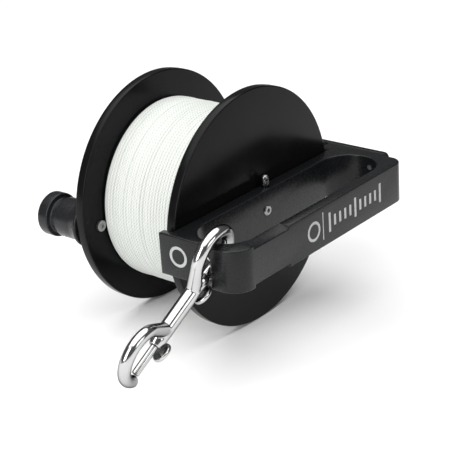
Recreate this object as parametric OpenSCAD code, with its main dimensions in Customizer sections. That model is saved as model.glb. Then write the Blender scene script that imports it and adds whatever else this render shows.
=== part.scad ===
// Dive reel: a spool of line between two discs, carried on a one-sided handle, with a
// crank knob, a lock screw, a line guide and a double-ended bolt snap.
// Millimetres. Y runs along the spool axis from the handle's outer face (Y = 0), X runs
// from the snap end to the line-guide end, Z is up. The origin is where the spool axis
// meets the handle's outer face.

/* [Spool] */
// Outside diameter of both discs
disc_d = 130; // [100:1:160]
// Thickness of each disc
disc_t = 5.5; // [3:0.5:8]
// Clear width between the discs
spool_gap = 58; // [40:1:80]
// Diameter of the full winding of line
wound_d = 101; // [60:1:120]
// Outside diameter of the drum under the line
drum_d = 44; // [30:1:60]

/* [Handle] */
// Height of the machined frame
frame_h = 22.4; // [18:0.2:30]
// Distance from the spool axis to the front face
front_x = 70.8; // [66:0.2:80]
// Distance from the spool axis to the back face
back_x = 75.2; // [70:0.2:85]
// Thickness of the grip rail
grip_t = 6.4; // [4:0.2:10]
// Clear width of the hand slot
slot_w = 31.6; // [25:0.2:40]
// Thickness of the rail that carries the axle
rail_t = 7.2; // [5:0.2:10]

/* [Axle] */
// Diameter of the fixed axle
axle_d = 8; // [6:0.5:10]
// Radial clearance of every running fit
run_clear = 0.05; // [0.02:0.01:0.1]

/* [Crank knob] */
// Distance of the knob's axis in front of the spool axis
knob_x = 53.2; // [45:0.2:56]
// Distance of the knob's axis below the spool axis
knob_z = 4.8; // [-10:0.2:10]
// Length of the knob
knob_l = 30; // [20:1:40]

/* [Line guide] */
// Inner diameter of the guide eyelet
guide_d = 8; // [5:0.5:12]

/* [Bolt snap] */
// Angle of the snap above level
snap_tilt = 32.7; // [20:0.1:45]
// Diameter of the snap's barrel
barrel_d = 8; // [7:0.1:11]
// Diameter of the snap's bolts
bolt_d = 4; // [3:0.1:5]

/* [Hidden] */
$fn = 96;
cut = 0.5;
half_h = frame_h / 2;
disc_r = disc_d / 2;
slot_r = slot_w / 2;
slot_y0 = grip_t;
slot_y1 = slot_y0 + slot_w;
slot_yc = slot_y0 + slot_r;
slot_xf = -50.5;
slot_xb = 51.2;
rail_y1 = slot_y1 + rail_t;
disc1_y0 = rail_y1 + 0.8;
disc1_y1 = disc1_y0 + disc_t;
disc2_y0 = disc1_y1 + spool_gap;
disc2_y1 = disc2_y0 + disc_t;
stub_y1 = disc1_y0 + 5.1;
cap_r = 10.8;
cap_x = front_x + 1.1;
rear_r = 7.5;
rear_x = 73.4;
rear_y = 13;
axle_r = axle_d / 2;
axle_y0 = slot_y1 + 2.2;
bush_r = 5.5;
bush_wall_y = axle_y0 + 0.3;
bush_l = 19.5;
axle_y1 = disc2_y0 - 1;
washer_t = 1.2;
cap_recess_r = 9;
screw_r = 1.5;
knob_y0 = disc2_y1 + 0.8;
knob_bolt_r = 2.5;
knob_screw_r = 1.5;
guide_t = 3.3;
guide_y1 = 95;
guide_y = (disc1_y1 + disc2_y0) / 2;
eye_y = 23;
eye_z = -1.8;
eye_r = 5.2;
liner_t = 0.8;
snap_x = -89.7;
snap_y = 23.3;
snap_z = -16.6;
snap_roll = 19.9;
snap_yaw = -4.7;
hook_s = 30.5;
hook_b = 6.1;
hook_rad = 13.4;
hook_r = 3.3;
hook_bend = 150;
hook_curl = 33;
bolt_tip = 38.3;
bolt_clear = 0.05;
tab_turn = -40;
tab_r = 5.3;
tab_h = 2;
tab_rise = 4.2;
upper_tab = 13.5;
lower_tab = 21.5;
lock_x = 4.8;
lock_y = 42.4;

// ---------- small helpers ----------

// A cylinder along +Y that starts at y
module rod_y(r, y, l) {
  translate([0, y, 0]) rotate([-90, 0, 0]) cylinder(r = r, h = l);
}

// A cone along +Y that starts at y
module cone_y(r1, r2, y, l) {
  translate([0, y, 0]) rotate([-90, 0, 0]) cylinder(r1 = r1, r2 = r2, h = l);
}

// A cylinder along +X that starts at x
module rod_x(r, x, l) {
  translate([x, 0, 0]) rotate([0, 90, 0]) cylinder(r = r, h = l);
}

module block(x0, x1, y0, y1, z0, z1) {
  translate([x0, y0, z0]) cube([x1 - x0, y1 - y0, z1 - z0]);
}

// An upright cylinder through the frame's height, with some extra
module post(x, y, r, extra = 0) {
  translate([x, y, -half_h - extra]) cylinder(r = r, h = frame_h + 2 * extra);
}

// The holes of the line guide's four screws, along X
module guide_screw_places() {
  for (y = [18, 43.5], z = [-5.5, 5.5]) translate([0, y, z]) children();
}

// The four screws that hold each disc to the drum
module disc_screw_places() {
  for (a = [45:90:315]) rotate([0, a, 0]) translate([8.1, 0, 0]) children();
}

// The snap's own frame: X along the barrel towards the upper hook, Z to the hooks' side
module at_snap() {
  translate([snap_x, snap_y, snap_z]) rotate([snap_roll, -snap_tilt, snap_yaw]) children();
}

// ---------- handle ----------

module frame_outline() {
  block(-cap_x + cap_r, rear_x - rear_r, 0, rail_y1, -half_h, half_h);
  post(-cap_x + cap_r, cap_r, cap_r);
  block(-cap_x, -cap_x + cap_r, cap_r, eye_y - 5, -half_h, half_h);
  block(-front_x, -cap_x + cap_r, eye_y - 6, stub_y1, -half_h, half_h);
  post(rear_x - rear_r, rear_r, rear_r);
  block(rear_x - rear_r, rear_x, rear_r, stub_y1, -half_h, half_h);
  block(rear_x - rear_r, back_x, rear_y, stub_y1, -half_h, half_h);
}

module hand_slot() {
  block(slot_xf, slot_xb, slot_y0, slot_y1, -half_h - cut, half_h + cut);
  post(slot_xf, slot_yc, slot_r, cut);
  post(slot_xb, slot_yc, slot_r, cut);
}

// Sloped thumb rest on one face of the grip rail, cut along X
module thumb_rest() {
  translate([-59, 0, 0]) rotate([90, 0, 90]) linear_extrude(28)
    polygon([[-cut, half_h - 1.9], [0, half_h - 1.8], [slot_y0 + cut, half_h],
             [slot_y0 + cut, half_h + cut], [-cut, half_h + cut]]);
}

module frame() {
  color([0.13, 0.13, 0.14]) difference() {
    frame_outline();
    hand_slot();
    // room for the near disc between the two end posts
    rod_y(disc_r + 2.3, rail_y1, disc_t + 4);
    thumb_rest();
    mirror([0, 0, 1]) thumb_rest();
    // upright cove that seats the snap's eye, and the dip its hook rests in
    post(-front_x - 4.4, eye_y - 0.8, 5.9, cut);
    translate([-front_x - 6, eye_y, half_h + 5.2]) rotate([0, 90, 0]) cylinder(r = 6, h = 14);
    // the eye
    translate([-front_x - 4, eye_y, eye_z]) rotate([0, 90, 0]) cylinder(r = eye_r + 1.2, h = 5.9);
    translate([-front_x - 4, eye_y, eye_z]) rotate([0, 90, 0]) cylinder(r = eye_r + liner_t, h = 10);
    // bearing for the spool's near bush, and the axle screw's seat
    rod_y(bush_r + run_clear, axle_y0, rail_t);
    rod_y(screw_r, slot_y1 - cut, 4);
    rod_y(3, slot_y1 - cut, cut + 0.8);
    // lock screw
    translate([lock_x, lock_y, 0]) cylinder(r = 1.55, h = half_h + cut);
    translate([lock_x, lock_y, half_h - 1.2]) cylinder(r = 2.2, h = 1.2 + cut);
    guide_screw_places() rod_x(screw_r, slot_xb + slot_r - 4, back_x - slot_xb - slot_r + 5);
  }
}

// Stainless liner of the front eye
module eye_liner() {
  color([0.8, 0.8, 0.82]) translate([0, eye_y, eye_z]) difference() {
    union() {
      rod_x(eye_r + liner_t, -front_x + 1.9, 2.6);
      rod_x(eye_r + 1.2, -front_x + 1.4, 0.5);
    }
    rod_x(eye_r, -front_x + 1, 5);
  }
}

module guide_plate() {
  color([0.13, 0.13, 0.14]) difference() {
    union() {
      block(back_x, back_x + guide_t, rear_y + 3, guide_y1 - 3, -half_h, half_h);
      block(back_x, back_x + guide_t, rear_y, guide_y1, -half_h + 3, half_h - 3);
      for (y = [rear_y + 3, guide_y1 - 3], z = [-half_h + 3, half_h - 3])
        translate([0, y, z]) rod_x(3, back_x, guide_t);
    }
    translate([0, guide_y, 0]) rod_x(guide_d / 2 + 1.4, back_x - cut, guide_t + 2 * cut);
    guide_screw_places() {
      rod_x(screw_r, back_x - cut, guide_t + 2 * cut);
      translate([back_x + guide_t - 1.5, 0, 0]) rotate([0, 90, 0])
        cylinder(r1 = screw_r, r2 = screw_r + 1.51, h = 1.51);
    }
  }
}

// Rounded eyelet that the line runs through
module guide_eyelet() {
  lip = 2.4;
  mid = back_x + guide_t / 2;
  color([0.8, 0.8, 0.82]) translate([mid, guide_y, 0]) rotate([0, 90, 0]) difference() {
    union() {
      cylinder(r = guide_d / 2 + 1.4, h = guide_t, center = true);
      for (s = [-1, 1]) translate([0, 0, s * (guide_t / 2 + 0.4)])
        cylinder(r = guide_d / 2 + lip, h = 0.8, center = true);
    }
    cylinder(r = guide_d / 2, h = guide_t + 4, center = true);
  }
}

module guide_screws() {
  color([0.75, 0.75, 0.77]) guide_screw_places() {
    rod_x(screw_r, slot_xb + slot_r - 0.6, back_x - slot_xb - slot_r + 2.4);
    translate([back_x + guide_t - 1.5, 0, 0]) rotate([0, 90, 0]) difference() {
      cylinder(r1 = screw_r, r2 = screw_r + 1.4, h = 1.4);
      translate([0, 0, 0.5]) cylinder(r = 1, h = 1, $fn = 6);
    }
  }
}

// ---------- axle ----------

module axle() {
  color([0.75, 0.75, 0.77]) difference() {
    rod_y(axle_r, axle_y0, axle_y1 - axle_y0);
    rod_y(screw_r, axle_y0 - cut, 10 + cut);
    rod_y(screw_r, axle_y1 - 10, 10 + cut);
  }
}

module axle_screw() {
  color([0.75, 0.75, 0.77]) difference() {
    union() {
      rod_y(screw_r, slot_y1 + 0.8, 9);
      cone_y(2.4, 2.9, slot_y1 - 0.8, 0.5);
      rod_y(2.9, slot_y1 - 0.3, 1.1);
    }
    rod_y(1.2, slot_y1 - 1, 1);
  }
}

module thrust_washer() {
  color([0.9, 0.9, 0.88]) difference() {
    rod_y(10, rail_y1, 0.7);
    rod_y(bush_r + 0.4, rail_y1 - cut, 2);
  }
}

module end_washer() {
  color([0.75, 0.75, 0.77]) difference() {
    rod_y(6.5, axle_y1, washer_t);
    rod_y(screw_r + 0.2, axle_y1 - cut, washer_t + 2 * cut);
  }
}

module end_screw() {
  y = axle_y1 + washer_t;
  color([0.75, 0.75, 0.77]) difference() {
    union() {
      rod_y(screw_r, y - 8, 8);
      rod_y(2.9, y, 1.8);
    }
    translate([0, y + 0.8, 0]) rotate([-90, 0, 0]) cylinder(r = 1.2, h = 2, $fn = 6);
  }
}

// ---------- spool ----------

// A disc blank with softened rims, from y to y + disc_t
module disc_blank(y) {
  c = 0.6;
  translate([0, y, 0]) rotate([-90, 0, 0]) rotate_extrude($fn = 180)
    polygon([[0, 0], [disc_r - c, 0], [disc_r, c], [disc_r, disc_t - c], [disc_r - c, disc_t], [0, disc_t]]);
}

module near_disc() {
  color([0.08, 0.08, 0.085]) difference() {
    disc_blank(disc1_y0);
    rod_y(bush_r, disc1_y0 - cut, disc_t + 2 * cut);
    disc_screw_places() {
      rod_y(1.25, disc1_y0 - cut, disc_t + 2 * cut);
      cone_y(2.36, 1.25, disc1_y0 - 0.01, 1.11);
    }
  }
}

module far_disc() {
  color([0.08, 0.08, 0.085]) difference() {
    disc_blank(disc2_y0);
    rod_y(cap_recess_r, disc2_y0 - cut, disc_t + 2 * cut);
    for (a = [45:90:315]) rotate([0, a, 0]) translate([14, 0, 0]) {
      rod_y(1.25, disc2_y0 - cut, disc_t + 2 * cut);
      cone_y(1.25, 2.36, disc2_y1 - 1.1, 1.11);
    }
    translate([-knob_x, 0, -knob_z]) {
      rod_y(knob_bolt_r, disc2_y0 - cut, disc_t + 2 * cut);
    }
  }
}

// Hollow drum with a web at each end for the bushes and screws
module drum() {
  web = 7;
  color([0.1, 0.1, 0.1]) difference() {
    rod_y(drum_d / 2, disc1_y1, spool_gap);
    rod_y(drum_d / 2 - 3, disc1_y1 + web, spool_gap - 2 * web);
    rod_y(bush_r, disc1_y1 - cut, web + 2 * cut);
    rod_y(bush_r + 1.5, disc2_y0 - web - cut, web + 2 * cut);
    disc_screw_places() rod_y(1.25, disc1_y1 - cut, web);
    for (a = [45:90:315]) rotate([0, a, 0]) translate([14, 0, 0]) rod_y(1.25, disc2_y0 - web + cut, web);
  }
}

module near_bush() {
  color([0.72, 0.55, 0.3]) difference() {
    union() {
      rod_y(bush_r, bush_wall_y, bush_l);
      rod_y(bush_r + 1.2, bush_wall_y + bush_l - 1.5, 1.5);
    }
    rod_y(axle_r + run_clear, bush_wall_y - cut, bush_l + 2 * cut);
  }
}

module far_bush() {
  y1 = axle_y1 - 0.3;
  color([0.72, 0.55, 0.3]) difference() {
    rod_y(bush_r + 1.5, y1 - 8, 8);
    rod_y(axle_r + run_clear, y1 - 9, 10);
  }
}

// All eight countersunk screws of the two discs
module disc_screws() {
  color([0.75, 0.75, 0.77]) {
    disc_screw_places() difference() {
      union() {
        rod_y(1.25, disc1_y0 + 1, disc_t + 4);
        cone_y(2.25, 1.25, disc1_y0 + 0.05, 1);
      }
      translate([0, disc1_y0 - 1, 0]) rotate([-90, 0, 0]) cylinder(r = 0.9, h = 1.7, $fn = 6);
    }
    for (a = [45:90:315]) rotate([0, a, 0]) translate([14, 0, 0]) difference() {
      union() {
        rod_y(1.25, disc2_y1 - 1 - disc_t - 4, disc_t + 4);
        cone_y(1.25, 2.25, disc2_y1 - 1.05, 1);
      }
      translate([0, disc2_y1 - 0.7, 0]) rotate([-90, 0, 0]) cylinder(r = 0.9, h = 1.7, $fn = 6);
    }
  }
}

// Cap over the axle's end, pressed into the far disc
module hub_cap() {
  color([0.08, 0.08, 0.085]) {
    rod_y(cap_recess_r, disc2_y0 + 3.5, disc_t - 3.5);
    cone_y(cap_recess_r + 2, cap_recess_r + 1, disc2_y1, 1.2);
  }
}

module wound_line() {
  color([0.93, 0.94, 0.92]) translate([0, disc1_y1, 0]) rotate([-90, 0, 0]) rotate_extrude($fn = 120)
    polygon([[drum_d / 2, 0], [wound_d / 2 - 1.2, 0], [wound_d / 2, 2], [wound_d / 2, spool_gap - 2],
             [wound_d / 2 - 1.2, spool_gap], [drum_d / 2, spool_gap]]);
}

// ---------- crank knob ----------

module at_knob() {
  translate([-knob_x, knob_y0, -knob_z]) rotate([-90, 0, 0]) children();
}

module crank_knob() {
  color([0.12, 0.12, 0.13]) at_knob() rotate_extrude()
    polygon([[knob_bolt_r + run_clear, 0], [12.6, 0], [13, 0.5], [13, 1.6], [11.6, 4], [10.9, 7], [10.9, 17.4], [10, 17.9],
             [9.6, 18.6], [9.6, 21.2], [10, 21.8], [11.9, 22.2], [12.1, 22.8], [12.1, 28.6], [11.2, knob_l - 0.3],
             [10.6, knob_l], [5.4, knob_l], [5.4, knob_l - 3], [knob_bolt_r + run_clear, knob_l - 3]]);
}

// Shoulder bolt that the knob turns on, with its flange seated in the disc's inner face
module knob_bolt() {
  color([0.75, 0.75, 0.77]) translate([-knob_x, 0, -knob_z]) difference() {
    union() {
      rod_y(3, disc2_y0 - 1.3, 1.3);
      rod_y(knob_bolt_r, disc2_y0, disc_t + 0.8 + knob_l - 2.8);
    }
    rod_y(knob_screw_r, knob_y0 + knob_l - 12, 12);
    rod_y(1.4, disc2_y0 - 1.4, 0.9);
  }
}

module knob_washer() {
  color([0.75, 0.75, 0.77]) translate([0, 0, knob_l - 2.8]) at_knob_shift() difference() {
    cylinder(r = 5, h = 0.8);
    translate([0, 0, -cut]) cylinder(r = 1.7, h = 2);
  }
}

module at_knob_shift() {
  translate([0, 0, -(knob_l - 2.8)]) at_knob() translate([0, 0, knob_l - 2.8]) children();
}

module knob_screw() {
  color([0.75, 0.75, 0.77]) at_knob() translate([0, 0, knob_l - 2]) difference() {
    union() {
      translate([0, 0, -7]) cylinder(r = knob_screw_r, h = 7);
      cylinder(r1 = 2.9, r2 = 2.3, h = 1.6);
    }
    translate([0, 0, 0.7]) cylinder(r = 1.2, h = 2, $fn = 6);
  }
}

// ---------- lock screw ----------

// Swivelling pad on the lock screw's tip, beside the near bush
module lock_pad() {
  color([0.72, 0.55, 0.3]) translate([lock_x, lock_y, 4.9]) cylinder(r = 1.5, h = 1);
}

module lock_screw() {
  color([0.8, 0.8, 0.82]) translate([lock_x, lock_y, 0]) {
    translate([0, 0, 5.9]) cylinder(r = 1.5, h = half_h - 5.9 + 0.6);
    translate([0, 0, half_h + 0.6]) cylinder(r = 2.1, h = 4);
    translate([0, 0, half_h + 4.6]) intersection() {
      sphere(r = 2.1);
      cylinder(r = 3, h = 3);
    }
  }
}

// ---------- bolt snap ----------

// One hook, drawn towards +X: a straight arm, a bend and a short tip
module hook() {
  lap = 0.3;
  difference() {
    translate([hook_s, 0, hook_b]) rotate([90, 0, 0]) {
      rotate([0, 0, -hook_curl]) rotate_extrude(angle = hook_bend + hook_curl)
        translate([hook_rad, 0]) circle(r = hook_r, $fn = 48);
      // the arm leaves the bend along its tangent and runs down into the barrel
      rotate([0, 0, hook_bend]) translate([hook_rad, -lap, 0]) rotate([-90, 0, 0])
        cylinder(r1 = hook_r - 0.2, r2 = hook_r + 0.4, h = 13 + lap);
      rotate([0, 0, -hook_curl]) translate([hook_rad, lap, 0]) rotate([90, 0, 0])
        cylinder(r1 = hook_r - 0.1, r2 = hook_r - 0.5, h = 2.4 + lap);
    }
    // seat for the bolt's end
    rod_x(bolt_d / 2 + 0.3, 28, bolt_tip - 28 + 0.3);
  }
}

// Half of the barrel with its nose, drawn towards +X
module half_barrel() {
  rod_x(barrel_d / 2, 0, 18.5);
  translate([18.5, 0, 0]) rotate([0, 90, 0]) cylinder(r1 = barrel_d / 2, r2 = 3.1, h = 3.2);
}

module snap_body() {
  color([0.82, 0.82, 0.84]) at_snap() difference() {
    union() {
      for (m = [0, 1]) mirror([m, 0, 0]) {
        translate([0, 0, 0.6]) half_barrel();
        hook();
      }
    }
    // bores of the two bolts, each closed by the web in the middle
    for (m = [0, 1]) mirror([m, 0, 0]) {
      rod_x(bolt_d / 2 + bolt_clear, 1.5, 26);
      // slot that the thumb button's stem travels in
      rotate([tab_turn, 0, 0]) block(4, 27.5, -1.1, 1.1, -6, 0);
    }
  }
}

// One bolt with its thumb button, drawn towards +X
module snap_bolt(tab) {
  rod_x(bolt_d / 2, 11.5, bolt_tip - 11.5);
  rotate([tab_turn, 0, 0]) translate([tab, 0, 0]) {
    block(-1.8, 1.8, -1, 1, -tab_rise - 0.5, 0);
    translate([0, 0, -tab_rise - tab_h]) cylinder(r = tab_r - 0.6, h = tab_h);
    translate([0, 0, -tab_rise - tab_h + 0.6]) cylinder(r = tab_r, h = tab_h - 0.6);
  }
}

module upper_bolt() {
  color([0.82, 0.82, 0.84]) at_snap() snap_bolt(upper_tab);
}

module lower_bolt() {
  color([0.82, 0.82, 0.84]) at_snap() mirror([1, 0, 0]) snap_bolt(lower_tab);
}

// Compression spring behind a bolt, as a sleeve of the coil's own size
module snap_spring() {
  difference() {
    rod_x(1.75, 1.6, 9.8);
    rod_x(1.15, 1, 11);
  }
}

module upper_spring() {
  color([0.7, 0.7, 0.72]) at_snap() snap_spring();
}

module lower_spring() {
  color([0.7, 0.7, 0.72]) at_snap() mirror([1, 0, 0]) snap_spring();
}

frame();
eye_liner();
guide_plate();
guide_eyelet();
guide_screws();
axle();
axle_screw();
thrust_washer();
end_washer();
end_screw();
near_disc();
far_disc();
drum();
near_bush();
far_bush();
disc_screws();
hub_cap();
wound_line();
crank_knob();
knob_bolt();
knob_washer();
knob_screw();
lock_pad();
lock_screw();
snap_body();
upper_bolt();
lower_bolt();
upper_spring();
lower_spring();
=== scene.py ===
"""Looks of the dive reel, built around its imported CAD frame.

Sizes are in millimetres until they become meshes.
"""

import math
import random

import bmesh
import bpy
from mathutils import Matrix, Vector, noise


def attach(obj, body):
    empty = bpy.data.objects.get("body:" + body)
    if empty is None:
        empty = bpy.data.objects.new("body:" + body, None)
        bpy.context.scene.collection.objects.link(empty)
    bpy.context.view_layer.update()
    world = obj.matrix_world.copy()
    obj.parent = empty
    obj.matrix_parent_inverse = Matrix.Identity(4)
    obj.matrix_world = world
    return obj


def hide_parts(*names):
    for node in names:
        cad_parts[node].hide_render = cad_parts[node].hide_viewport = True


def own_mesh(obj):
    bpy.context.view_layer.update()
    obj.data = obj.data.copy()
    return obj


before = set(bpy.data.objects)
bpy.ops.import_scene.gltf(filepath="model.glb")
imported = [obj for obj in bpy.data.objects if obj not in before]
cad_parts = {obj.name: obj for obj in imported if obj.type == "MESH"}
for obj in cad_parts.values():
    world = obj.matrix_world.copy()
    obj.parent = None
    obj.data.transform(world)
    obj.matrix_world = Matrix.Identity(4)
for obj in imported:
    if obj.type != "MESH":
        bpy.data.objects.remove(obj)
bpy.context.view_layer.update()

MM = 0.001
TAU = 2 * math.pi
SCENE = bpy.context.scene

# ---------- sizes shared with the CAD source ----------
HALF_H = 11.2                    # half the frame's height
FRONT_X, CAP_X, CAP_R = 70.8, 71.9, 10.8
REAR_X, REAR_R, REAR_Y, BACK_X = 73.4, 7.5, 13.0, 75.2
RAIL_Y, STUB_Y = 45.2, 51.1
SLOT_R, SLOT_Y, SLOT_XF, SLOT_XB = 15.8, 22.2, -50.5, 51.2
SLOT_Y1 = SLOT_Y + SLOT_R
DISC_R, DISC_T, DISC1_Y, DISC2_Y = 65.0, 5.5, 46.0, 109.5
DRUM_R, WOUND_R = 22.0, 50.5
EYE_Y, EYE_Z, EYE_R = 23.0, -1.8, 5.2
COVE_X, COVE_Y, COVE_R = -75.2, 22.2, 5.9
GUIDE_T, GUIDE_Y, GUIDE_END_Y, GUIDE_R = 3.3, 80.5, 95.0, 4.0
KNOB_X, KNOB_Z, KNOB_Y, KNOB_L = -53.2, -4.8, 115.8, 30.0
LOCK_X, LOCK_Y = 4.8, 42.4
SNAP = Vector((-89.7, 23.3, -16.6))
SNAP_ROLL, SNAP_TILT, SNAP_YAW = math.radians(19.9), math.radians(32.7), math.radians(-4.7)
HOOK_S, HOOK_B, HOOK_RAD, HOOK_BEND, HOOK_CURL = 30.5, 6.1, 13.4, 150.0, 33.0
HOOK_R, BARREL_R, BARREL_B = 3.3, 4.0, 0.6
BOLT_R, BOLT_TIP = 2.0, 38.3
TAB_TURN, TAB_R, TAB_RISE, TAB_H = math.radians(-40), 5.3, 4.2, 2.0
COILS, COIL_STEPS, COIL_R, WIRE_R = 8, 20, 1.4, 0.3
COIL_START, COIL_LENGTH = 1.95, 8.9


# ---------- mesh helpers ----------

def add_object(name, verts, faces, smooth=32.0):
    mesh = bpy.data.meshes.new(name)
    mesh.from_pydata([Vector(v) * MM for v in verts], [], faces)
    return wrap(name, mesh, smooth)


def wrap(name, mesh, smooth=32.0):
    bm = bmesh.new()
    bm.from_mesh(mesh)
    bmesh.ops.remove_doubles(bm, verts=bm.verts, dist=2e-7)
    bmesh.ops.recalc_face_normals(bm, faces=bm.faces)
    bm.to_mesh(mesh)
    bm.free()
    mesh.shade_smooth()
    mesh.set_sharp_from_angle(angle=math.radians(smooth))
    obj = bpy.data.objects.new(name, mesh)
    SCENE.collection.objects.link(obj)
    return obj


def lathe(name, profile, centre=(0.0, 0.0), seg=128, smooth=32.0):
    """A closed (radius, y) outline turned about the line through centre along Y."""
    verts = [(centre[0] + r * math.cos(TAU * k / seg), y, centre[1] + r * math.sin(TAU * k / seg))
             for k in range(seg) for r, y in profile]
    n = len(profile)
    faces = [(k * n + i, k * n + (i + 1) % n, (k + 1) % seg * n + (i + 1) % n, (k + 1) % seg * n + i)
             for k in range(seg) for i in range(n)]
    return add_object(name, verts, faces, smooth)


def prism(name, outline, lo, hi, axis="z", smooth=32.0):
    """An outline of two coordinates, extruded from lo to hi along the third."""
    place = {"x": lambda a, b, c: (c, a, b), "y": lambda a, b, c: (a, c, b),
             "z": lambda a, b, c: (a, b, c)}[axis]
    n = len(outline)
    verts = [place(a, b, c) for c in (lo, hi) for a, b in outline]
    faces = [tuple(range(n)), tuple(range(n, 2 * n))]
    faces += [(i, (i + 1) % n, n + (i + 1) % n, n + i) for i in range(n)]
    return add_object(name, verts, faces, smooth)


def arc(cx, cy, r, a0, a1, steps):
    return [(cx + r * math.cos(math.radians(a0 + (a1 - a0) * i / steps)),
             cy + r * math.sin(math.radians(a0 + (a1 - a0) * i / steps))) for i in range(steps + 1)]


def circle(cx, cy, r, steps=48):
    return arc(cx, cy, r, 0, 360, steps)[:-1]


def sweep(name, points, radii, sides=16, side_axis=Vector((0, 1, 0))):
    """A tube along points, closed by a flat face at each end."""
    verts, faces, count = [], [], len(points)
    for i, p in enumerate(points):
        ahead = points[i + 1] if i < count - 1 else p
        behind = points[i - 1] if i > 0 else p
        tangent = (Vector(ahead) - Vector(behind)).normalized()
        across = tangent.cross(side_axis).normalized()
        for k in range(sides):
            a = TAU * k / sides
            verts.append(Vector(p) + (across * math.cos(a) + side_axis * math.sin(a)) * radii[i])
    for i in range(count - 1):
        j = i + 1
        faces += [(i * sides + k, i * sides + (k + 1) % sides, j * sides + (k + 1) % sides, j * sides + k)
                  for k in range(sides)]
    faces += [tuple(range(sides)), tuple(range((count - 1) * sides, count * sides))]
    return add_object(name, verts, faces, 60.0)


def bake_modifiers(obj, smooth=32.0):
    graph = bpy.context.evaluated_depsgraph_get()
    mesh = bpy.data.meshes.new_from_object(obj.evaluated_get(graph))
    obj.modifiers.clear()
    obj.data = mesh
    mesh.shade_smooth()
    mesh.set_sharp_from_angle(angle=math.radians(smooth))


def boolean(obj, others, operation="DIFFERENCE", smooth=32.0):
    for other in others:
        mod = obj.modifiers.new("boolean", "BOOLEAN")
        mod.operation, mod.solver, mod.object = operation, "EXACT", other
    bake_modifiers(obj, smooth)
    for other in others:
        bpy.data.objects.remove(other)


def bevel(obj, width):
    mod = obj.modifiers.new("bevel", "BEVEL")
    mod.width, mod.segments, mod.limit_method = width * MM, 3, "ANGLE"
    mod.angle_limit, mod.use_clamp_overlap = math.radians(30.0), False
    mod.harden_normals = False
    bake_modifiers(obj, 40.0)


def finish_piece(obj, body, material, slot, *nodes):
    obj.data.materials.clear()
    obj.data.materials.append(material)
    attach(obj, body)
    if nodes:
        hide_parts(*nodes)
    return obj


# ---------- materials ----------

class Shader:
    """A material with one Principled shader, and short ways to add nodes."""

    def __init__(self, name, colour, rough, metal=0.0, **sockets):
        self.mat = bpy.data.materials.new(name)
        self.mat.use_nodes = True
        self.tree = self.mat.node_tree
        self.bsdf = self.tree.nodes["Principled BSDF"]
        self.bsdf.inputs["Base Color"].default_value = (*colour, 1.0)
        self.bsdf.inputs["Roughness"].default_value = rough
        self.bsdf.inputs["Metallic"].default_value = metal
        for key, value in sockets.items():
            self.bsdf.inputs[key.replace("_", " ")].default_value = value
        self.place = self.node("ShaderNodeTexCoord").outputs["Object"]

    def node(self, kind, **values):
        made = self.tree.nodes.new(kind)
        for key, value in values.items():
            setattr(made, key, value)
        return made

    def link(self, a, b):
        self.tree.links.new(a, b)

    def noise(self, scale, detail=4.0, rough=0.6):
        tex = self.node("ShaderNodeTexNoise")
        self.link(self.place, tex.inputs["Vector"])
        for key, value in (("Scale", scale), ("Detail", detail), ("Roughness", rough)):
            tex.inputs[key].default_value = value
        return tex.outputs["Fac"]

    def ramp(self, fac, lo, hi, a=0.0, b=1.0):
        made = self.node("ShaderNodeMapRange")
        self.link(fac, made.inputs["Value"])
        for key, value in (("From Min", lo), ("From Max", hi), ("To Min", a), ("To Max", b)):
            made.inputs[key].default_value = value
        return made.outputs["Result"]

    def math(self, operation, a, b=None):
        made = self.node("ShaderNodeMath", operation=operation)
        for slot, value in enumerate((a, b)):
            if isinstance(value, (int, float)):
                made.inputs[slot].default_value = value
            elif value is not None:
                self.link(value, made.inputs[slot])
        return made.outputs[0]

    def mix(self, fac, a, b):
        made = self.node("ShaderNodeMix", data_type="RGBA")
        self.link(fac, made.inputs["Factor"])
        made.inputs["A"].default_value = (*a, 1.0)
        made.inputs["B"].default_value = (*b, 1.0)
        self.link(made.outputs["Result"], self.bsdf.inputs["Base Color"])
        return self

    def rough(self, fac):
        self.link(fac, self.bsdf.inputs["Roughness"])
        return self

    def bump(self, height, distance, strength=1.0):
        made = self.node("ShaderNodeBump")
        made.inputs["Distance"].default_value = distance
        made.inputs["Strength"].default_value = strength
        self.link(height, made.inputs["Height"])
        self.link(made.outputs["Normal"], self.bsdf.inputs["Normal"])
        return self


def anodised(name, colour, rough):
    """Bead-blasted black anodised aluminium: fine grain, with soft cloudy changes of sheen."""
    s = Shader(name, colour, rough, 0.0, Specular_IOR_Level=0.27)
    cloud = s.noise(35.0, 3.0)
    s.mix(s.ramp(cloud, 0.3, 0.7), [c * 0.8 for c in colour], [c * 1.25 for c in colour])
    s.rough(s.ramp(s.noise(420.0, 5.0, 0.7), 0.3, 0.7, rough - 0.05, rough + 0.07))
    s.bump(s.noise(2600.0, 3.0, 0.6), 0.00003, 0.25)
    return s.mat


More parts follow.
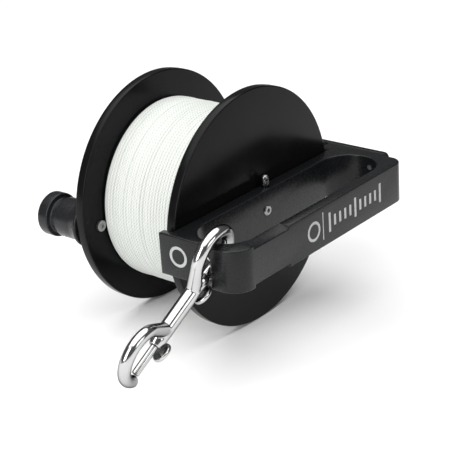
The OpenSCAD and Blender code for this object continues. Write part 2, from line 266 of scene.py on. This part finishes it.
def glossy_disc(name):
    """Polished black disc face: low sheen, with a few fine turned scratches."""
    s = Shader(name, (0.004, 0.004, 0.0045), 0.2, 0.0, Specular_IOR_Level=0.12)
    s.mix(s.ramp(s.noise(18.0, 3.0), 0.35, 0.7), (0.0035, 0.0035, 0.004), (0.006, 0.006, 0.0065))
    sep = s.node("ShaderNodeSeparateXYZ")
    s.link(s.place, sep.inputs[0])
    x, z = sep.outputs["X"], sep.outputs["Z"]
    radius = s.math("SQRT", s.math("ADD", s.math("MULTIPLY", x, x), s.math("MULTIPLY", z, z)))
    rings = s.node("ShaderNodeTexNoise", noise_dimensions="1D")
    s.link(radius, rings.inputs["W"])
    for key, value in (("Scale", 2600.0), ("Detail", 4.0), ("Roughness", 0.7)):
        rings.inputs[key].default_value = value
    wear = s.noise(60.0, 4.0, 0.6)
    s.rough(s.ramp(s.math("ADD", wear, s.math("MULTIPLY", rings.outputs["Fac"], 0.4)), 0.5, 1.0, 0.17, 0.3))
    s.bump(s.math("ADD", s.math("MULTIPLY", rings.outputs["Fac"], 0.5), s.noise(900.0, 2.0)), 0.00002, 0.25)
    return s.mat


def steel(name, colour, lo, hi, grain, edge=1.0):
    """Stainless steel between two roughnesses, with a fine grain. Edge is the tint at a grazing angle."""
    s = Shader(name, colour, (lo + hi) / 2, 1.0, Specular_Tint=(edge, edge, edge, 1.0))
    s.rough(s.ramp(s.noise(grain), 0.3, 0.7, lo, hi))
    s.mix(s.ramp(s.noise(80.0, 3.0), 0.3, 0.7), [c * 0.93 for c in colour], colour)
    s.bump(s.noise(grain * 2, 3.0), 0.00002, 0.3)
    return s.mat


def plastic(name, colour, rough, grain):
    s = Shader(name, colour, rough)
    dark, light = [c * 0.85 for c in colour], [min(1, c * 1.1) for c in colour]
    s.mix(s.ramp(s.noise(50.0, 3.0), 0.3, 0.7), dark, light)
    s.rough(s.ramp(s.noise(grain / 4), 0.3, 0.7, rough - 0.05, rough + 0.08))
    s.bump(s.noise(grain, 3.0), 0.00004, 0.5)
    return s.mat


def braided_line(name):
    """White braid. U runs along the line in strand pitches and V goes once round it."""
    s = Shader(name, (0.86, 0.87, 0.85), 0.75, 0.0, Sheen_Weight=0.25, Sheen_Roughness=0.5)
    uv = s.node("ShaderNodeUVMap").outputs["UV"]
    sep = s.node("ShaderNodeSeparateXYZ")
    s.link(uv, sep.inputs[0])
    along, around = sep.outputs["X"], s.math("MULTIPLY", sep.outputs["Y"], 4.0)
    waves = [s.math("ABSOLUTE", s.math("SINE", s.math("MULTIPLY", s.math(op, along, around), math.pi)))
             for op in ("ADD", "SUBTRACT")]
    weave = s.math("MAXIMUM", *waves)
    fibre = s.noise(3000.0, 4.0, 0.7)
    height = s.math("ADD", weave, s.math("MULTIPLY", fibre, 0.25))
    # Painted shade: where the weave height is low, in the grooves between strands, the colour is darker
    # than on the strands' crowns.
    made = s.node("ShaderNodeMix", data_type="RGBA")
    s.link(s.ramp(height, 0.55, 1.1), made.inputs["Factor"])
    made.inputs["A"].default_value = (0.5, 0.52, 0.49, 1)
    made.inputs["B"].default_value = (0.7, 0.725, 0.69, 1)
    s.link(made.outputs["Result"], s.bsdf.inputs["Base Color"])
    s.rough(s.ramp(s.noise(700.0), 0.3, 0.7, 0.68, 0.85))
    s.bump(height, 0.00012, 0.8)
    return s.mat


MAT_FRAME = anodised("anodised_black", (0.0065, 0.007, 0.0078), 0.27)
MAT_KNOB = anodised("anodised_knob", (0.012, 0.0125, 0.014), 0.28)
MAT_DISC = glossy_disc("disc_black")
MAT_POLISHED = steel("steel_polished", (0.56, 0.565, 0.56), 0.1, 0.17, 500.0, edge=0.1)
MAT_STEEL = steel("steel_bright", (0.5, 0.5, 0.5), 0.16, 0.26, 900.0, edge=0.4)
MAT_STUD = steel("steel_stud", (0.3, 0.3, 0.305), 0.2, 0.32, 900.0, edge=0.9)
MAT_SCREW = steel("steel_plain", (0.4, 0.4, 0.4), 0.26, 0.38, 1200.0)
MAT_WIRE = steel("steel_wire", (0.62, 0.62, 0.63), 0.18, 0.3, 1500.0)
MAT_BRONZE = steel("bronze_sintered", (0.52, 0.33, 0.15), 0.35, 0.5, 1600.0)
MAT_DRUM = plastic("drum_black", (0.02, 0.02, 0.02), 0.5, 1500.0)
MAT_WASHER = plastic("washer_white", (0.8, 0.8, 0.76), 0.45, 1500.0)
MAT_LINE = braided_line("line_braid")
MAT_PRINT = plastic("print_white", (0.46, 0.47, 0.47), 0.55, 1800.0)


# ---------- handle ----------

def frame_outline():
    """The frame seen from above, anticlockwise from the front of the grip's end."""
    reach = math.sqrt(COVE_R ** 2 - (-FRONT_X - COVE_X) ** 2)
    a_front = math.degrees(math.atan2(reach, -FRONT_X - COVE_X))
    reach = math.sqrt(COVE_R ** 2 - (-CAP_X - COVE_X) ** 2)
    a_cap = -math.degrees(math.atan2(reach, -CAP_X - COVE_X))
    points = arc(-CAP_X + CAP_R, CAP_R, CAP_R, 180, 270, 28)
    points += arc(REAR_X - REAR_R, REAR_R, REAR_R, 270, 360, 24)
    points += [(REAR_X, REAR_Y), (BACK_X, REAR_Y), (BACK_X, STUB_Y), (REAR_X - REAR_R, STUB_Y),
               (REAR_X - REAR_R, RAIL_Y), (-CAP_X + CAP_R, RAIL_Y), (-CAP_X + CAP_R, STUB_Y),
               (-FRONT_X, STUB_Y)]
    points += arc(COVE_X, COVE_Y, COVE_R, a_front, a_cap, 8)
    return points


def slot_outline():
    return arc(SLOT_XF, SLOT_Y, SLOT_R, 90, 270, 64) + arc(SLOT_XB, SLOT_Y, SLOT_R, -90, 90, 64)


def thumb_rest(sign):
    points = [(-0.5, HALF_H - 1.9), (0, HALF_H - 1.8), (6.9, HALF_H), (6.9, HALF_H + 0.5),
              (-0.5, HALF_H + 0.5)]
    return prism("cut", [(y, sign * z) for y, z in points], -59, -31, "x")


def print_bars():
    """A bar and a row of ticks on the handle's side: centre x and z, half width, half height."""
    ticks, pitch, long_every = 11, 4.6, 5
    bars = [(-2.6, 0.4, 0.35, 7.6)]
    bars += [(3.2 + pitch * i, 0.4, 0.9, 5.4 if i % long_every == 0 else 3.0) for i in range(ticks)]
    return bars


def build_frame():
    body = prism("reel_frame", frame_outline(), -HALF_H, HALF_H)
    cuts = [prism("cut", slot_outline(), -HALF_H - 1, HALF_H + 1),
            prism("cut", circle(0, 0, DISC_R + 2.3, 240), RAIL_Y, RAIL_Y + 9, "y"),
            thumb_rest(1), thumb_rest(-1)]
    boolean(body, cuts)
    bevel(body, 0.55)
    cuts = [prism("cut", circle(EYE_Y, HALF_H + 5.2, 6.0, 64), -FRONT_X - 6, -FRONT_X + 8, "x"),
            prism("cut", circle(EYE_Y, EYE_Z, EYE_R + 1.25, 48), -FRONT_X - 4, -FRONT_X + 1.9, "x"),
            prism("cut", circle(EYE_Y, EYE_Z, EYE_R + 0.85, 48), -FRONT_X - 4, -FRONT_X + 8, "x"),
            prism("cut", circle(0, 0, 3.0, 32), SLOT_Y1 - 1, SLOT_Y1 + 0.8, "y"),
            prism("cut", circle(LOCK_X, LOCK_Y, 2.2, 32), HALF_H - 1.2, HALF_H + 1, "z")]
    wall_x = SLOT_XB + SLOT_R
    cuts += [prism("cut", circle(18, z, 1.55, 24), wall_x - 4, wall_x + 2, "x") for z in (-5.5, 5.5)]
    cuts += print_solids(-1.0, 0.12, "cut")
    boolean(body, cuts)
    finish_piece(body, "handle", MAT_FRAME, "anodised", "frame")


def ring_solid(name, cy, cz, r_out, r_in, lo, hi, axis):
    ring = prism(name, circle(cy, cz, r_out, 48), lo, hi, axis)
    boolean(ring, [prism("cut", circle(cy, cz, r_in, 48), lo - 1, hi + 1, axis)])
    return ring


def print_solids(lo, hi, name):
    """The handle's print as thin solids that reach from lo to hi behind each face."""
    made = [ring_solid(name, -10.5, 0.2, 5.4, 3.9, lo, hi, "y")]
    for x, z, half_w, half_h in print_bars():
        made.append(prism(name, [(x - half_w, z - half_h), (x + half_w, z - half_h),
                                 (x + half_w, z + half_h), (x - half_w, z + half_h)], lo, hi, "y"))
    made.append(ring_solid(name, 39.0, 0.6, 5.6, 4.0, -FRONT_X + lo, -FRONT_X + hi, "x"))
    return made


def build_print():
    for i, piece in enumerate(print_solids(0.015, 0.2, "print")):
        piece.name = f"print_{i:02d}"
        finish_piece(piece, "handle", MAT_PRINT, "anodised")


def rounded(points, r, steps=4):
    """Rounds each convex corner of a closed (radius, y) outline by about r."""
    out, n = [], len(points)
    for i, p in enumerate(points):
        p, a, b = Vector(p), Vector(points[i - 1]), Vector(points[(i + 1) % n])
        da, db = a - p, b - p
        cut = min(r, da.length * 0.45, db.length * 0.45)
        start, end = p + da.normalized() * cut, p + db.normalized() * cut
        for k in range(steps + 1):
            t = k / steps
            out.append(tuple(start * (1 - t) ** 2 + p * (2 * t * (1 - t)) + end * t ** 2))
    return out


def lathe_x(name, profile, cy, cz, seg=64):
    obj = lathe(name, [(r, x) for r, x in profile], seg=seg)
    turn = Matrix.Translation(Vector((0, cy, cz)) * MM) @ Matrix.Rotation(math.radians(-90), 4, "Z")
    obj.data.transform(turn)
    return obj


def build_fittings():
    liner = [(EYE_R, -69.4), (EYE_R + 1.2, -69.4), (EYE_R + 1.2, -68.9), (EYE_R + 0.8, -68.9),
             (EYE_R + 0.8, -66.3), (EYE_R, -66.3)]
    obj = lathe_x("front_eye_liner", rounded(liner, 0.25), EYE_Y, EYE_Z)
    finish_piece(obj, "handle", MAT_STEEL, "steel", "eye_liner")
    mid, half = BACK_X + GUIDE_T / 2, GUIDE_T / 2
    lip = [(GUIDE_R, mid - half - 0.8), (GUIDE_R + 2.4, mid - half - 0.8), (GUIDE_R + 2.4, mid - half),
           (GUIDE_R + 1.4, mid - half), (GUIDE_R + 1.4, mid + half), (GUIDE_R + 2.4, mid + half),
           (GUIDE_R + 2.4, mid + half + 0.8), (GUIDE_R, mid + half + 0.8)]
    obj = lathe_x("line_guide_eyelet", rounded(lip, 0.5), GUIDE_Y, 0)
    finish_piece(obj, "handle", MAT_STEEL, "steel", "guide_eyelet")
    corner = 3.0
    plate = []
    near, far, high = REAR_Y + corner, GUIDE_END_Y - corner, HALF_H - corner
    for cy, cz, a in ((far, high, 0), (near, high, 90), (near, -high, 180), (far, -high, 270)):
        plate += arc(cy, cz, corner, a, a + 90, 12)
    obj = prism("line_guide_plate", plate, BACK_X, BACK_X + GUIDE_T, "x")
    bevel(obj, 0.4)
    cuts = [prism("cut", circle(GUIDE_Y, 0, GUIDE_R + 1.4, 48), BACK_X - 1, BACK_X + 6, "x")]
    for y in (18, 43.5):
        for z in (-5.5, 5.5):
            hole = [(0.001, 74), (1.52, 74), (1.52, BACK_X + 1.8), (3.05, BACK_X + 3.33),
                    (3.05, BACK_X + 5), (0.001, BACK_X + 5)]
            cuts.append(lathe_x("cut", hole, y, z, 32))
    boolean(obj, cuts)
    finish_piece(obj, "handle", MAT_FRAME, "anodised", "guide_plate")


# ---------- spool ----------

def build_discs():
    edge = 0.7
    for name, y, node, bore in (("near_disc_turned", DISC1_Y, "near_disc", 5.5),
                                ("far_disc_turned", DISC2_Y, "far_disc", 9.0)):
        outline = [(bore, y), (DISC_R, y), (DISC_R, y + DISC_T), (bore, y + DISC_T)]
        obj = lathe(name, rounded(outline, edge), seg=256)
        if node == "far_disc":
            cuts, screws_r = [], 14
            sink = [(0.001, y + DISC_T - 1.15), (1.25, y + DISC_T - 1.15), (2.4, y + DISC_T),
                    (2.4, y + 6.5), (0.001, y + 6.5)]
            for k in range(4):
                a = math.radians(45 + 90 * k)
                cuts.append(lathe("cut", sink, (screws_r * math.cos(a), screws_r * math.sin(a)), 24))
            boolean(obj, cuts)
        finish_piece(obj, "spool", MAT_DISC, "disc", node)
    y = DISC2_Y + DISC_T
    cap = [(0.001, DISC2_Y + 3.5), (9.0, DISC2_Y + 3.5), (9.0, y), (11.0, y), (10.2, y + 1.2),
           (0.001, y + 1.2)]
    finish_piece(lathe("hub_cap_turned", rounded(cap, 0.35), seg=96), "spool", MAT_KNOB, "disc", "hub_cap")


def build_line():
    """The wound line: one long tube in close turns, with slightly uneven lay."""
    rng = random.Random(7)
    turns, seg, sides, line_r = 29, 220, 8, 1.06
    y0, y1 = DISC1_Y + DISC_T + line_r * 0.9, DISC2_Y - line_r * 0.9
    lay = [rng.uniform(-0.28, 0.28) for _ in range(turns + 2)]
    lift = [rng.uniform(-0.35, 0.0) for _ in range(turns + 2)]
    verts, uvs, faces = [], [], []
    total = turns * seg
    for i in range(total + 1):
        turn = i / seg
        k, t = int(turn), turn - int(turn)
        t = t * t * (3 - 2 * t)
        y = y0 + (y1 - y0) * i / total + lay[k] * (1 - t) + lay[k + 1] * t
        y += 0.12 * noise.noise(Vector((turn * 3.1, 4.7, 0)))
        y = min(max(y, y0), y1)
        side = min(y - DISC1_Y - DISC_T, DISC2_Y - y)
        r = WOUND_R - line_r * 0.86 + lift[k] * (1 - t) + lift[k + 1] * t - max(0.0, 3.0 - side) * 0.22
        r += 0.1 * noise.noise(Vector((turn * 9.0, 1.3, 2.0)))
        a = TAU * turn
        out = Vector((math.cos(a), 0, math.sin(a)))
        for j in range(sides):
            b = TAU * j / sides
            verts.append(out * (r + math.cos(b) * line_r * 0.82) + Vector((0, y + math.sin(b) * line_r, 0)))
        if i < total:
            faces += [(i * sides + j, i * sides + (j + 1) % sides, (i + 1) * sides + (j + 1) % sides,
                       (i + 1) * sides + j) for j in range(sides)]
            step = TAU * WOUND_R / seg / 1.9
            for j in range(sides):
                uvs += [(i * step, j / sides), (i * step, (j + 1) / sides),
                        ((i + 1) * step, (j + 1) / sides), ((i + 1) * step, j / sides)]
    mesh = bpy.data.meshes.new("wound_turns")
    mesh.from_pydata([v * MM for v in verts], [], faces)
    layer = mesh.uv_layers.new(name="UVMap")
    for loop, value in zip(layer.data, uvs):
        loop.uv = value
    mesh.shade_smooth()
    obj = bpy.data.objects.new("wound_turns", mesh)
    SCENE.collection.objects.link(obj)
    finish_piece(obj, "spool", MAT_LINE, "line", "wound_line")
    y0, y1 = DISC1_Y + DISC_T + 0.02, DISC2_Y - 0.02
    core = [(DRUM_R, y0), (WOUND_R - 2.6, y0), (WOUND_R - 1.6, y0 + 3), (WOUND_R - 1.6, y1 - 3),
            (WOUND_R - 2.6, y1), (DRUM_R, y1)]
    finish_piece(lathe("wound_core", core, seg=128), "spool", MAT_LINE, "line")


def build_knob():
    outline = [(2.55, 0), (12.6, 0), (13, 0.5), (13, 1.6), (11.6, 4), (10.9, 7), (10.9, 17.4), (10, 17.9),
               (9.6, 18.6), (9.6, 21.2), (10, 21.8), (11.9, 22.2), (12.1, 22.8), (12.1, 28.6),
               (11.2, KNOB_L - 0.3),
               (10.6, KNOB_L), (5.4, KNOB_L), (5.4, KNOB_L - 3), (2.55, KNOB_L - 3)]
    outline = [(r, KNOB_Y + y) for r, y in outline]
    obj = lathe("crank_knob_turned", rounded(outline, 0.3, 3), (KNOB_X, KNOB_Z), 128)
    finish_piece(obj, "knob", MAT_KNOB, "knob", "crank_knob")


def build_lock_screw():
    z = HALF_H
    outline = [(0.001, 5.9), (1.5, 5.9), (1.5, z + 0.6), (2.1, z + 0.6), (2.1, z + 4.7), (1.9, z + 5.6),
               (1.2, z + 6.4), (0.001, z + 6.7)]
    obj = lathe("lock_screw_turned", rounded(outline, 0.25), seg=48)
    turn = Matrix.Translation(Vector((LOCK_X, LOCK_Y, 0)) * MM) @ Matrix.Rotation(math.radians(90), 4, "X")
    obj.data.transform(turn)
    finish_piece(obj, "lock_screw", MAT_STUD, "steel", "lock_screw")


# ---------- bolt snap ----------

def to_snap(obj):
    """Moves a mesh from the snap's own frame (X along the barrel, Z to the hooks) to its place."""
    place = (Matrix.Translation(SNAP * MM) @ Matrix.Rotation(SNAP_YAW, 4, "Z")
             @ Matrix.Rotation(-SNAP_TILT, 4, "Y") @ Matrix.Rotation(SNAP_ROLL, 4, "X"))
    obj.data.transform(place)
    return obj


def to_row(point):
    """A point of the snap's own frame in the shared frame, in metres."""
    mesh = bpy.data.meshes.new("probe")
    mesh.from_pydata([point * MM], [], [])
    probe = bpy.data.objects.new("probe", mesh)
    found = to_snap(probe).data.vertices[0].co.copy()
    bpy.data.objects.remove(probe)
    return found


def hook_points(sign):
    """Centre line and radius of one hook, from inside the barrel to the tip."""
    path, radii = [], []
    bend = math.radians(HOOK_BEND)
    start = Vector((HOOK_S + HOOK_RAD * math.cos(bend), 0, HOOK_B + HOOK_RAD * math.sin(bend)))
    along = Vector((-math.sin(bend), 0, math.cos(bend)))
    for i in range(8):
        t = 13.0 * (1 - i / 8)
        path.append(start + along * t)
        radii.append(HOOK_R - 0.05 + 0.45 * t / 13.0)
    steps = 36
    for i in range(steps + 1):
        a = math.radians(HOOK_BEND - (HOOK_BEND + HOOK_CURL) * i / steps)
        path.append(Vector((HOOK_S + HOOK_RAD * math.cos(a), 0, HOOK_B + HOOK_RAD * math.sin(a))))
        radii.append(HOOK_R - 0.05)
    end, down = path[-1], (path[-1] - path[-2]).normalized()
    for t, less in ((0.8, 0.1), (1.5, 0.4), (2.0, 0.9), (2.3, 1.6)):
        path.append(end + down * t)
        radii.append(HOOK_R - less)
    return [Vector((sign * p.x, p.y, p.z)) for p in path], radii


def rod_s(name, r, s0, s1, seg=48):
    """A round bar along the snap's X."""
    return lathe_x(name, [(0.001, s0), (r, s0), (r, s1), (0.001, s1)], 0, 0, seg)


def box_s(name, lo, hi):
    return prism(name, [(lo[0], lo[1]), (hi[0], lo[1]), (hi[0], hi[1]), (lo[0], hi[1])], lo[2], hi[2])


def build_snap():
    half = [(0.001, 21.7), (3.1, 21.7), (BARREL_R - 0.05, 18.5)]
    barrel = lathe_x("snap_cast", [(r, -s) for r, s in half] + half[::-1], 0, BARREL_B, 64)
    hooks = [sweep("hook", *hook_points(sign), sides=28) for sign in (-1, 1)]
    boolean(barrel, hooks, "UNION")
    mod = barrel.modifiers.new("remesh", "REMESH")
    mod.mode, mod.voxel_size, mod.use_smooth_shade = "VOXEL", 0.3 * MM, True
    mod = barrel.modifiers.new("smooth", "SMOOTH")
    mod.factor, mod.iterations = 0.5, 6
    bake_modifiers(barrel, 60.0)
    turn = Matrix.Rotation(TAB_TURN, 4, "X")
    cuts = []
    for sign in (-1, 1):
        near, far = sorted((sign * 1.5, sign * 26))
        cuts.append(rod_s("cut", BOLT_R + 0.05, near, far, 40))
        near, far = sorted((sign * 4, sign * 27.5))
        slot = box_s("cut", (near, -1.1, -6), (far, 1.1, 0))
        slot.data.transform(turn)
        cuts.append(slot)
        near, far = sorted((sign * 28, sign * (BOLT_TIP + 0.3)))
        cuts.append(rod_s("cut", BOLT_R + 0.3, near, far, 40))
    boolean(barrel, cuts, smooth=45.0)
    finish_piece(to_snap(barrel), "snap", MAT_POLISHED, "polished", "snap_body")
    along = to_row(Vector((1, 0, 0))) - to_row(Vector((0, 0, 0)))
    for sign, node, tab in ((1, "upper_bolt", 13.5), (-1, "lower_bolt", 21.5)):
        rod = [(0.001, 11.5), (BOLT_R, 11.5), (BOLT_R, BOLT_TIP), (0.001, BOLT_TIP)]
        obj = lathe_x(node + "_turned", [(r, sign * s) for r, s in rounded(rod, 0.6, 5)], 0, 0, 48)
        stem = box_s("stem", (sign * tab - 1.8, -1.0, -TAB_RISE - 0.5), (sign * tab + 1.8, 1.0, 0))
        stem.data.transform(turn)
        top = TAB_RISE + TAB_H
        button = [(0.001, TAB_RISE), (TAB_R, TAB_RISE), (TAB_R, top), (0.001, top)]
        knob = lathe("tab", rounded(button, 0.75, 6), (sign * tab, 0), 56)
        knob.data.transform(Matrix.Rotation(TAB_TURN - math.radians(90), 4, "X"))
        boolean(obj, [stem, knob], "UNION", 35.0)
        finish_piece(to_snap(obj), node, MAT_POLISHED, "polished", node)
        points = []
        for i in range(COILS * COIL_STEPS + 1):
            a = TAU * i / COIL_STEPS
            x = COIL_START + COIL_LENGTH * i / (COILS * COIL_STEPS)
            points.append(Vector((sign * x, COIL_R * math.cos(a), COIL_R * math.sin(a))))
        spring = sweep("spring", points, [WIRE_R] * len(points), 8, side_axis=Vector((1, 0, 0)))
        spring.name = node.replace("bolt", "coil")
        finish_piece(to_snap(spring), "snap", MAT_WIRE, "spring", node.replace("bolt", "spring"))
        to_row(Vector((sign * 1.6, 0, 0)))
        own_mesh(spring)


# ---------- finishes of the CAD nodes that stay ----------

def dress_nodes():
    finishes = {
        "guide_screws": MAT_SCREW, "axle": MAT_SCREW, "axle_screw": MAT_STUD,
        "thrust_washer": MAT_WASHER, "end_washer": MAT_SCREW, "end_screw": MAT_SCREW,
        "drum": MAT_DRUM, "near_bush": MAT_BRONZE, "far_bush": MAT_BRONZE,
        "disc_screws": MAT_SCREW, "knob_bolt": MAT_SCREW, "knob_washer": MAT_SCREW,
        "knob_screw": MAT_SCREW, "lock_pad": MAT_BRONZE}
    for node, material in finishes.items():
        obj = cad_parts[node]
        for slot in obj.material_slots:
            slot.material = material


# ---------- stage ----------

def build_stage():
    floor = prism("stage_floor", [(-4000, -4000), (4000, -4000), (4000, 4000), (-4000, 4000)], -66.0, -65.0)
    s = Shader("stage_white", (0.93, 0.93, 0.93), 0.9)
    s.rough(s.ramp(s.noise(30.0), 0.3, 0.7, 0.85, 0.95))
    floor.data.materials.append(s.mat)
    world = bpy.data.worlds.new("studio")
    SCENE.world = world
    world.use_nodes = True
    back = world.node_tree.nodes["Background"]
    back.inputs["Color"].default_value = (1, 1, 1, 1)
    back.inputs["Strength"].default_value = 0.12


def add_light(name, place, target, size, power):
    data = bpy.data.lights.new(name, "AREA")
    data.shape, data.size, data.size_y, data.energy = "RECTANGLE", size[0], size[1], power
    obj = bpy.data.objects.new(name, data)
    obj.location = place
    obj.rotation_mode = "QUATERNION"
    obj.rotation_quaternion = (Vector(target) - Vector(place)).to_track_quat("-Z", "Y")
    SCENE.collection.objects.link(obj)


def build_lights():
    add_light("softbox_top", (0.0, 0.1, 1.3), (0, 0.05, 0), (2.2, 2.2), 36)
    add_light("softbox_left", (-1.1, 0.15, 0.5), (0, 0.06, 0), (0.6, 0.9), 9)
    add_light("softbox_front", (0.1, -1.4, 0.5), (0, 0.06, 0), (0.9, 0.6), 4)


def build_camera():
    azimuth, elevation, roll = (math.radians(v) for v in (-49.34, 23.28, 3.94))
    back = Vector((math.sin(azimuth) * math.cos(elevation), -math.cos(azimuth) * math.cos(elevation),
                   math.sin(elevation)))
    right = Vector((0, 0, 1)).cross(back).normalized()
    up = back.cross(right)
    c, s = math.cos(roll), math.sin(roll)
    axes = Matrix((right * c - up * s, right * s + up * c, back)).transposed()
    data = bpy.data.cameras.new("camera")
    data.lens, data.sensor_width, data.clip_start, data.clip_end = 117.4, 36.0, 0.01, 100
    obj = bpy.data.objects.new("camera", data)
    obj.matrix_world = Matrix.Translation(Vector((-554.8, -408.5, 299.5)) * MM) @ axes.to_4x4()
    SCENE.collection.objects.link(obj)
    SCENE.camera = obj


build_camera()
build_frame()
build_print()
build_fittings()
build_discs()
build_line()
build_knob()
build_lock_screw()
build_snap()
dress_nodes()
build_stage()
build_lights()
SCENE.view_settings.view_transform = "Standard"
